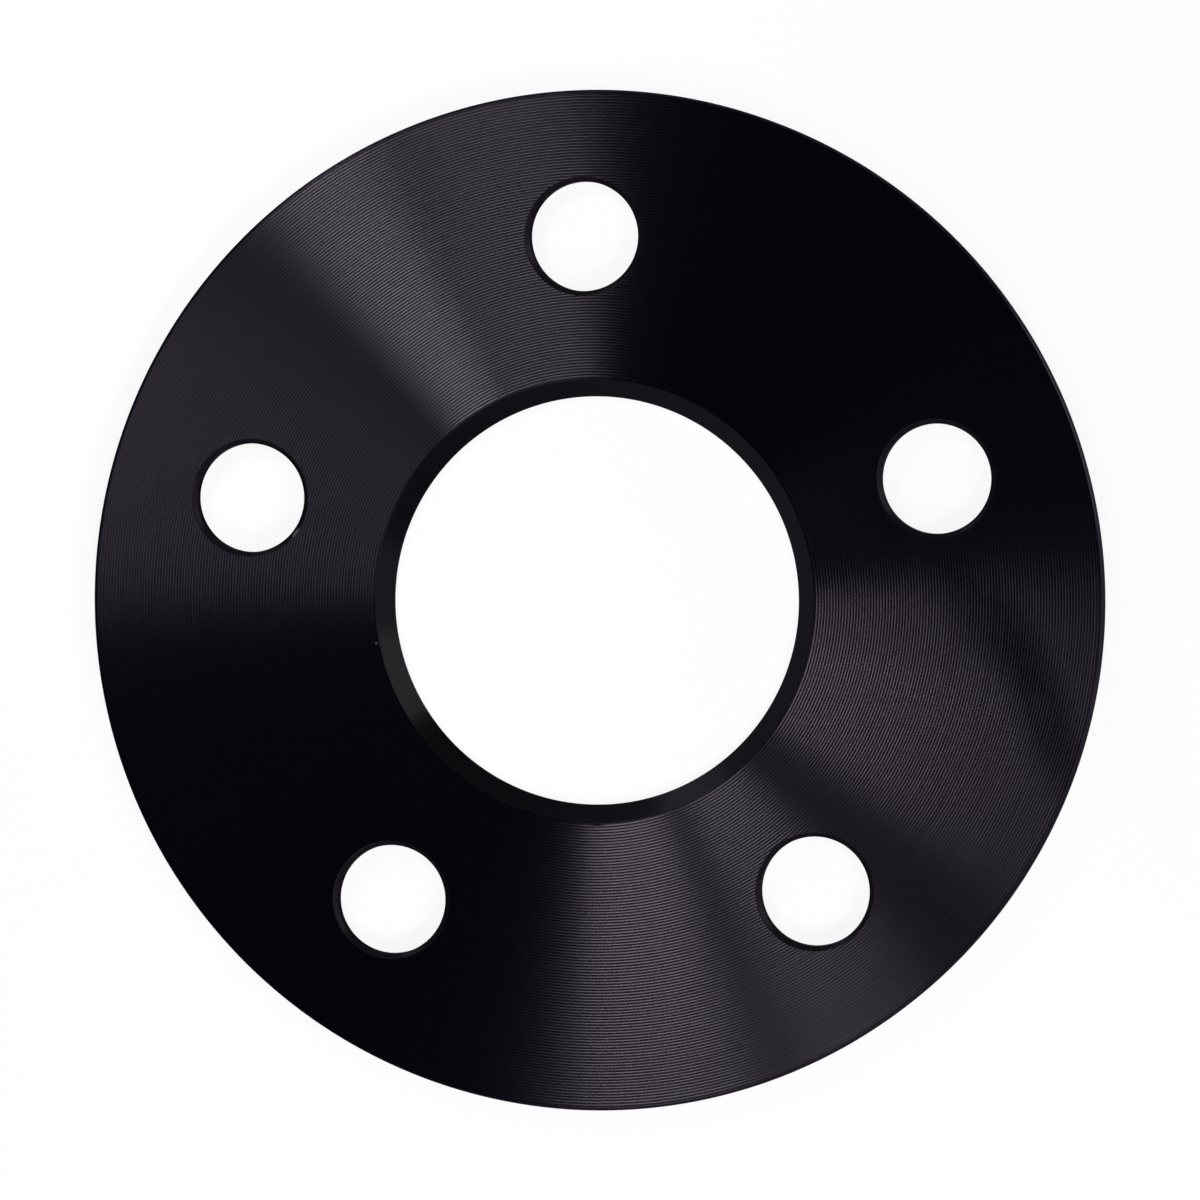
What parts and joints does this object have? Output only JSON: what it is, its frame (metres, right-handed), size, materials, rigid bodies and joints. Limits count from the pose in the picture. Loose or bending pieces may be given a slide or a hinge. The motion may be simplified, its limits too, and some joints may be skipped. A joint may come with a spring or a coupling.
{
  "type": "wheel spacer",
  "caption": "Thin flat round spacer with a chamfered hub bore and a ring of plain bolt holes; fits between a wheel hub and a wheel to move the wheel outwards.",
  "frame": {"origin": "centre of the disc on its flat back face, the face that it lies on", "axes": "+Z along the turning axis, out of the front face with the wide bore chamfer; +Y from the centre through one bolt hole"},
  "size_m": [0.14, 0.14, 0.003],
  "materials": {
    "anodised_aluminium": "fine turned, black anodised"
  },
  "bodies": {
    "root": {"spacer_disc": "anodised_aluminium"}
  },
  "joints": []
}
